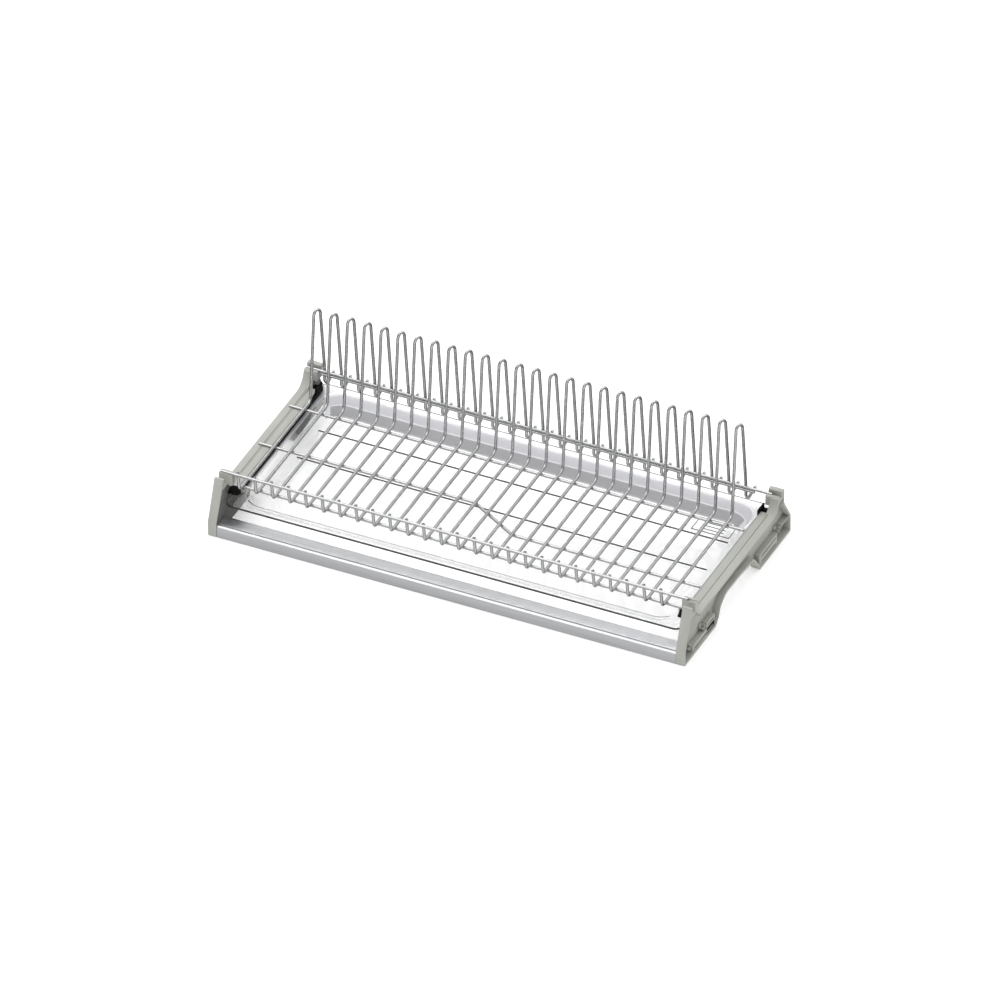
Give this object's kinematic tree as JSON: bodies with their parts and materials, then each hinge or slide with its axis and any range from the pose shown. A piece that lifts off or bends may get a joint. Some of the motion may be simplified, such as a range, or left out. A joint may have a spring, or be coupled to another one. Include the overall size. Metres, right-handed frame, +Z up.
{
  "type": "dish drying rack",
  "caption": "Cabinet dish drying rack: two side brackets, front profile, drip tray that slides out and a lift-out wire rack with hairpin plate wires.",
  "frame": {"origin": "centre of the footprint on the plane the feet stand on", "axes": "+X right along the rack, +Y to the back, +Z up; the front profile faces -Y"},
  "size_m": [0.564, 0.273, 0.1639],
  "materials": {
    "grey_plastic": "fine satin moulding",
    "aluminium": "satin anodised",
    "black_plastic": "matt",
    "clear_plastic": "clear, polished",
    "chromed_wire": "bright chrome",
    "zinc_screw": "zinc plated"
  },
  "bodies": {
    "frame": {"left_bracket": "grey_plastic", "right_bracket": "grey_plastic", "front_profile": "aluminium", "left_tray_guide": "black_plastic", "right_tray_guide": "black_plastic", "left_screw_1": "zinc_screw", "left_screw_2": "zinc_screw", "left_screw_3": "zinc_screw", "right_screw_1": "zinc_screw", "right_screw_2": "zinc_screw", "right_screw_3": "zinc_screw"},
    "tray": {"drip_tray": "clear_plastic"},
    "rack": {"plate_wire_01": "chromed_wire", "plate_wire_02": "chromed_wire", "plate_wire_03": "chromed_wire", "plate_wire_04": "chromed_wire", "plate_wire_05": "chromed_wire", "plate_wire_06": "chromed_wire", "plate_wire_07": "chromed_wire", "plate_wire_08": "chromed_wire", "plate_wire_09": "chromed_wire", "plate_wire_10": "chromed_wire", "plate_wire_11": "chromed_wire", "plate_wire_12": "chromed_wire", "plate_wire_13": "chromed_wire", "plate_wire_14": "chromed_wire", "plate_wire_15": "chromed_wire", "plate_wire_16": "chromed_wire", "plate_wire_17": "chromed_wire", "plate_wire_18": "chromed_wire", "plate_wire_19": "chromed_wire", "plate_wire_20": "chromed_wire", "plate_wire_21": "chromed_wire", "plate_wire_22": "chromed_wire", "plate_wire_23": "chromed_wire", "plate_wire_24": "chromed_wire", "plate_wire_25": "chromed_wire", "plate_wire_26": "chromed_wire", "front_upper_rod": "chromed_wire", "front_lower_rod": "chromed_wire", "middle_rod": "chromed_wire", "rear_bottom_rod": "chromed_wire", "rear_hanging_rod": "chromed_wire", "rear_tie_rod": "chromed_wire"}
  },
  "joints": [
    {"name": "tray_slide", "type": "slide", "parent": "frame", "child": "tray", "axis": [0, -1, 0], "range_m": [0, 0.2]},
    {"name": "rack_lift", "type": "slide", "parent": "frame", "child": "rack", "axis": [0, 0, 1], "range_m": [0, 0.08]}
  ]
}
